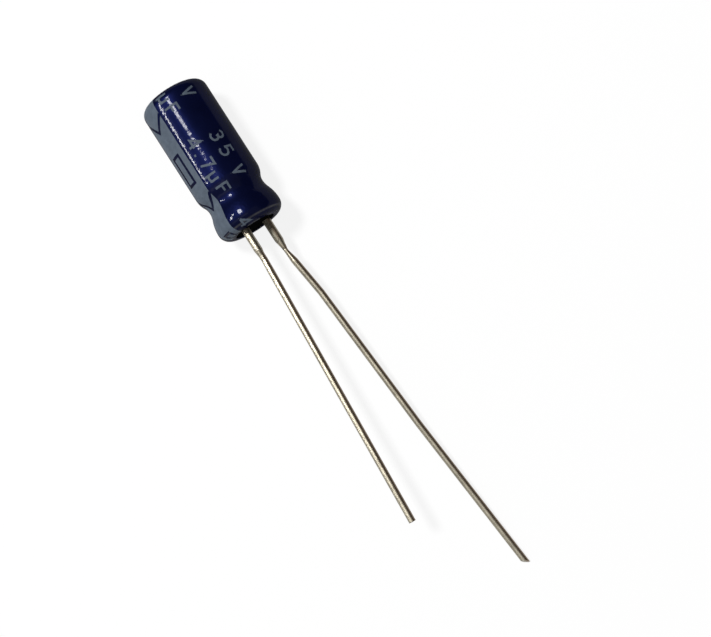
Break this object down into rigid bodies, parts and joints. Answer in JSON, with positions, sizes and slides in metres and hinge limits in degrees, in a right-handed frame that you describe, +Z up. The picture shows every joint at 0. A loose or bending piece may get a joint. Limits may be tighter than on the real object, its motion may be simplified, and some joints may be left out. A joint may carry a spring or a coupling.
{
  "type": "aluminium electrolytic capacitor",
  "caption": "Small round can capacitor in a dark blue shrunk sleeve with a pale polarity stripe, a rolled groove and two long wire leads, lying on its side.",
  "frame": {"origin": "middle of the flat lip that the sleeve leaves round the bung, the rim that stands on a circuit board", "axes": "+X along the can, from its closed end out along the leads; +Z up from the table that it lies on; +Y the side on which the longer, positive lead comes down to the table"},
  "size_m": [0.0415, 0.0061, 0.0051],
  "materials": {
    "sleeve_plastic": "glossy shrunk film, near-black navy blue",
    "stripe_ink": "pale grey-blue ink under the sleeve's gloss",
    "can_aluminium": "bare drawn sheet",
    "bung_rubber": "matt black",
    "winding_paper": "soaked paper and foil edges",
    "tape_film": "thin adhesive film",
    "tab_aluminium": "drawn aluminium",
    "tinned_wire": "tin plate, drawn along the wire"
  },
  "bodies": {
    "root": {"sleeve": "sleeve_plastic", "polarity_stripe": "stripe_ink", "can": "can_aluminium", "rubber_bung": "bung_rubber", "winding": "winding_paper", "winding_tape": "tape_film", "positive_tab": "tab_aluminium", "negative_tab": "tab_aluminium", "positive_lead": "tinned_wire", "negative_lead": "tinned_wire"}
  },
  "joints": []
}
